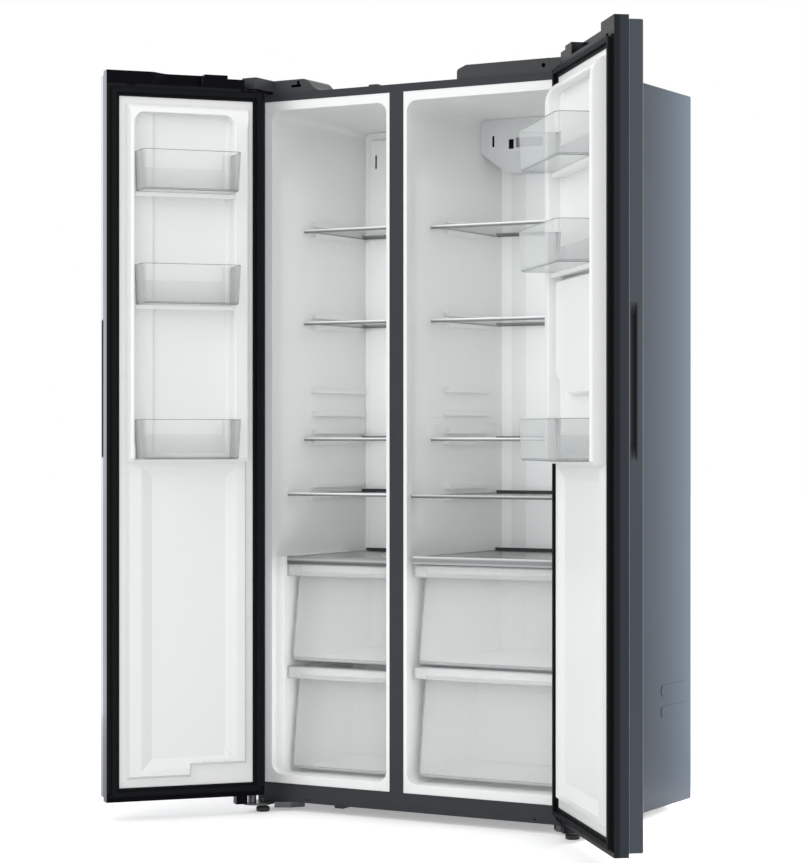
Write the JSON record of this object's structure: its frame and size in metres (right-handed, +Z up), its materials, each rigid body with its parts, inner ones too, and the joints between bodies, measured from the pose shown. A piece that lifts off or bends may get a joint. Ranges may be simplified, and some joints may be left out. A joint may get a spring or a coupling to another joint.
{
  "type": "side by side refrigerator",
  "caption": "Free-standing side by side refrigerator with two hinged doors, glass shelves, door bins, clear drawers, and the compressor and fan in a rear machine room.",
  "frame": {"origin": "centre of the cabinet's underside, in the plane of its base sheet, with the floor 22 mm below", "axes": "+Z up along the cabinet's height; the front with the doors faces -Y; +X towards the refrigerator side, the viewer's right"},
  "size_m": [1.458, 1.0367, 1.779],
  "materials": {
    "cabinet_paint": "satin dark slate",
    "trim_paint": "satin dark grey",
    "door_face": "gloss black",
    "dark_plastic": "satin",
    "black_plastic": "matt",
    "white_plastic": "satin white",
    "pale_grey_plastic": "satin pale grey",
    "seal_rubber": "soft matt",
    "pad_rubber": "matt",
    "foam": "rigid foam",
    "clear_plastic": "clear",
    "shelf_glass": "clear toughened glass",
    "lens_plastic": "frosted",
    "zinc_steel": "zinc plated",
    "black_steel": "gloss black paint",
    "fin_aluminium": "plain",
    "board_resin": "circuit board"
  },
  "bodies": {
    "cabinet": {"outer_cabinet": "cabinet_paint", "front_rail": "trim_paint", "mullion_cover": "trim_paint", "insulation": "foam", "freezer_liner": "white_plastic", "fridge_liner": "white_plastic", "back_panel": "zinc_steel", "machine_room_cover": "zinc_steel", "mains_inlet": "black_plastic", "base_pan": "zinc_steel", "compressor": "black_steel", "condenser": "fin_aluminium", "evaporator": "fin_aluminium", "evaporator_cover": "white_plastic", "air_duct": "pale_grey_plastic", "lamp_housing": "white_plastic", "lamp_lens": "lens_plastic", "upper_hinges": "black_steel", "lower_hinges": "black_steel", "hinge_covers": "dark_plastic", "board_cover": "dark_plastic", "control_board": "board_resin", "cabinet_screws": "zinc_steel", "drawer_covers": "shelf_glass"},
    "freezer_door": {"freezer_door_body": "dark_plastic", "freezer_door_panel": "door_face", "freezer_door_liner": "white_plastic", "freezer_door_gasket": "seal_rubber", "freezer_door_caps": "black_plastic", "freezer_door_grip": "black_plastic"},
    "freezer_bin_1": {"freezer_bin_1": "clear_plastic"},
    "freezer_bin_2": {"freezer_bin_2": "clear_plastic"},
    "freezer_bin_3": {"freezer_bin_3": "clear_plastic"},
    "fridge_door": {"fridge_door_body": "dark_plastic", "fridge_door_panel": "door_face", "fridge_door_liner": "white_plastic", "fridge_door_gasket": "seal_rubber", "fridge_door_caps": "black_plastic", "fridge_door_grip": "black_plastic"},
    "fridge_bin_1": {"fridge_bin_1": "clear_plastic"},
    "fridge_bin_2": {"fridge_bin_2": "clear_plastic"},
    "fridge_bin_3": {"fridge_bin_3": "clear_plastic"},
    "freezer_shelf_1": {"freezer_shelf_1": "shelf_glass"},
    "freezer_shelf_2": {"freezer_shelf_2": "shelf_glass"},
    "freezer_shelf_3": {"freezer_shelf_3": "shelf_glass"},
    "freezer_shelf_4": {"freezer_shelf_4": "shelf_glass"},
    "freezer_drawer_1": {"freezer_drawer_1": "clear_plastic"},
    "freezer_drawer_2": {"freezer_drawer_2": "clear_plastic"},
    "fridge_shelf_1": {"fridge_shelf_1": "shelf_glass"},
    "fridge_shelf_2": {"fridge_shelf_2": "shelf_glass"},
    "fridge_shelf_3": {"fridge_shelf_3": "shelf_glass"},
    "fridge_shelf_4": {"fridge_shelf_4": "shelf_glass"},
    "fridge_drawer_1": {"fridge_drawer_1": "clear_plastic"},
    "fridge_drawer_2": {"fridge_drawer_2": "clear_plastic"},
    "front_foot_left": {"front_foot_left": "pad_rubber"},
    "rear_roller_left": {"rear_roller_left": "black_plastic"},
    "front_foot_right": {"front_foot_right": "pad_rubber"},
    "rear_roller_right": {"rear_roller_right": "black_plastic"},
    "condenser_fan": {"condenser_fan": "black_plastic"},
    "evaporator_fan": {"evaporator_fan": "pale_grey_plastic"}
  },
  "joints": [
    {"name": "freezer_door_hinge", "type": "hinge", "parent": "cabinet", "child": "freezer_door", "pos_m": [-0.4368, -0.3285, 0], "axis": [0, 0, -1], "range_deg": [-130, 5]},
    {"name": "freezer_bin_1_lift", "type": "slide", "parent": "freezer_door", "child": "freezer_bin_1", "axis": [0, 0, 1], "range_m": [0, 0.025]},
    {"name": "freezer_bin_2_lift", "type": "slide", "parent": "freezer_door", "child": "freezer_bin_2", "axis": [0, 0, 1], "range_m": [0, 0.025]},
    {"name": "freezer_bin_3_lift", "type": "slide", "parent": "freezer_door", "child": "freezer_bin_3", "axis": [0, 0, 1], "range_m": [0, 0.025]},
    {"name": "fridge_door_hinge", "type": "hinge", "parent": "cabinet", "child": "fridge_door", "pos_m": [0.4368, -0.3285, 0], "axis": [0, 0, 1], "range_deg": [-130, 5]},
    {"name": "fridge_bin_1_lift", "type": "slide", "parent": "fridge_door", "child": "fridge_bin_1", "axis": [0, 0, 1], "range_m": [0, 0.025]},
    {"name": "fridge_bin_2_lift", "type": "slide", "parent": "fridge_door", "child": "fridge_bin_2", "axis": [0, 0, 1], "range_m": [0, 0.025]},
    {"name": "fridge_bin_3_lift", "type": "slide", "parent": "fridge_door", "child": "fridge_bin_3", "axis": [0, 0, 1], "range_m": [0, 0.025]},
    {"name": "freezer_shelf_1_slide", "type": "slide", "parent": "cabinet", "child": "freezer_shelf_1", "axis": [0, -1, 0], "range_m": [0, 0.18]},
    {"name": "freezer_shelf_2_slide", "type": "slide", "parent": "cabinet", "child": "freezer_shelf_2", "axis": [0, -1, 0], "range_m": [0, 0.18]},
    {"name": "freezer_shelf_3_slide", "type": "slide", "parent": "cabinet", "child": "freezer_shelf_3", "axis": [0, -1, 0], "range_m": [0, 0.18]},
    {"name": "freezer_shelf_4_slide", "type": "slide", "parent": "cabinet", "child": "freezer_shelf_4", "axis": [0, -1, 0], "range_m": [0, 0.11]},
    {"name": "freezer_drawer_1_slide", "type": "slide", "parent": "cabinet", "child": "freezer_drawer_1", "axis": [0, -1, 0], "range_m": [0, 0.3]},
    {"name": "freezer_drawer_2_slide", "type": "slide", "parent": "cabinet", "child": "freezer_drawer_2", "axis": [0, -1, 0], "range_m": [0, 0.3]},
    {"name": "fridge_shelf_1_slide", "type": "slide", "parent": "cabinet", "child": "fridge_shelf_1", "axis": [0, -1, 0], "range_m": [0, 0.15]},
    {"name": "fridge_shelf_2_slide", "type": "slide", "parent": "cabinet", "child": "fridge_shelf_2", "axis": [0, -1, 0], "range_m": [0, 0.15]},
    {"name": "fridge_shelf_3_slide", "type": "slide", "parent": "cabinet", "child": "fridge_shelf_3", "axis": [0, -1, 0], "range_m": [0, 0.15]},
    {"name": "fridge_shelf_4_slide", "type": "slide", "parent": "cabinet", "child": "fridge_shelf_4", "axis": [0, -1, 0], "range_m": [0, 0.06]},
    {"name": "fridge_drawer_1_slide", "type": "slide", "parent": "cabinet", "child": "fridge_drawer_1", "axis": [0, -1, 0], "range_m": [0, 0.3]},
    {"name": "fridge_drawer_2_slide", "type": "slide", "parent": "cabinet", "child": "fridge_drawer_2", "axis": [0, -1, 0], "range_m": [0, 0.3]},
    {"name": "front_foot_left_turn", "type": "hinge", "parent": "cabinet", "child": "front_foot_left", "pos_m": [-0.4184, -0.309, -0.01], "axis": [0, 0, 1], "continuous": true},
    {"name": "rear_roller_left_roll", "type": "hinge", "parent": "cabinet", "child": "rear_roller_left", "pos_m": [-0.385, 0.226, -0.004], "axis": [1, 0, 0], "continuous": true},
    {"name": "front_foot_right_turn", "type": "hinge", "parent": "cabinet", "child": "front_foot_right", "pos_m": [0.4184, -0.309, -0.01], "axis": [0, 0, 1], "continuous": true},
    {"name": "rear_roller_right_roll", "type": "hinge", "parent": "cabinet", "child": "rear_roller_right", "pos_m": [0.385, 0.226, -0.004], "axis": [1, 0, 0], "continuous": true},
    {"name": "condenser_fan_spin", "type": "hinge", "parent": "cabinet", "child": "condenser_fan", "pos_m": [-0.168, 0.186, 0.092], "axis": [1, 0, 0], "continuous": true},
    {"name": "evaporator_fan_spin", "type": "hinge", "parent": "cabinet", "child": "evaporator_fan", "pos_m": [-0.2535, 0.1753, 0.61], "axis": [0, 1, 0], "continuous": true}
  ]
}
